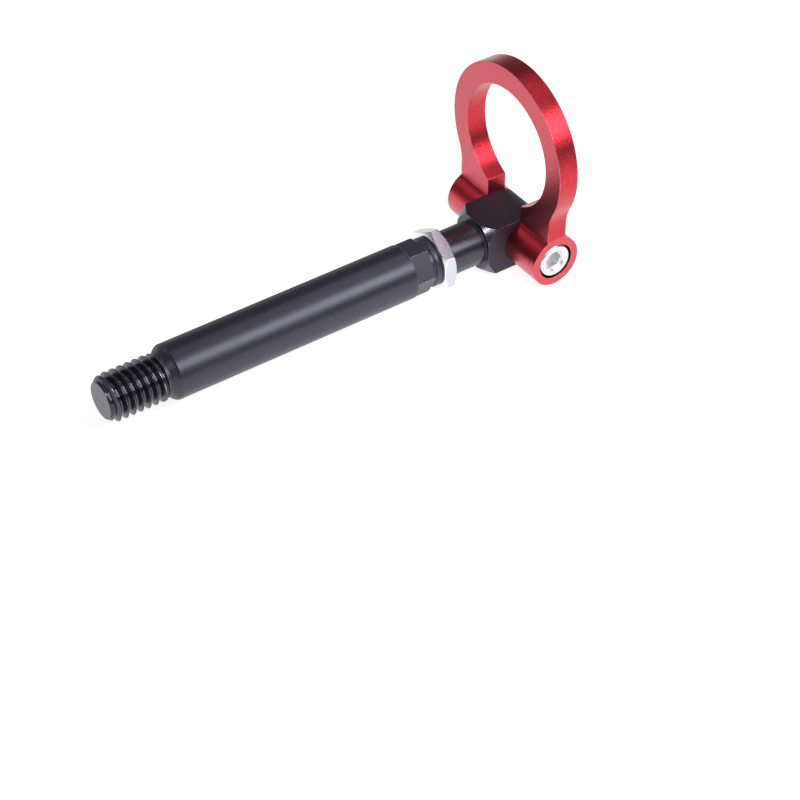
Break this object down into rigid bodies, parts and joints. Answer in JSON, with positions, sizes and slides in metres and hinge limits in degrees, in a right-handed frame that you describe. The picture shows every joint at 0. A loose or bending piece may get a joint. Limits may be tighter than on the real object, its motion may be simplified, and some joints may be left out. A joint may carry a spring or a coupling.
{
  "type": "tow eye",
  "caption": "Screw-in tow eye: a coarse-threaded round shaft with a lock nut and a swivel head, on which a flat ring folds about a cross bolt.",
  "frame": {"origin": "on the shaft's axis, where the full thread ends beside the shoulder", "axes": "-X along the shaft out of the thread's tip, +X towards the ring's pivot, Y along the pivot with the bolt's head on the -Y side, +Z the way the ring stands"},
  "size_m": [0.1872, 0.0646, 0.083],
  "materials": {
    "shaft_black": "satin black coating on steel",
    "head_black": "satin black coating on steel",
    "nut_zinc": "bright zinc plate",
    "ring_red": "red anodised, fine bead-blasted grain",
    "bolt_zinc": "bright zinc plate"
  },
  "bodies": {
    "shaft": {"shaft": "shaft_black", "lock_nut": "nut_zinc"},
    "head": {"swivel_head": "head_black"},
    "ring": {"tow_ring": "ring_red", "pivot_bolt": "bolt_zinc"}
  },
  "joints": [
    {"name": "head_turn", "type": "hinge", "parent": "shaft", "child": "head", "pos_m": [0.1218, 0, 0], "axis": [1, 0, 0], "range_deg": [-180, 180]},
    {"name": "ring_swing", "type": "hinge", "parent": "head", "child": "ring", "pos_m": [0.155, 0, 0], "axis": [0, 1, 0], "range_deg": [-75, 255]}
  ]
}
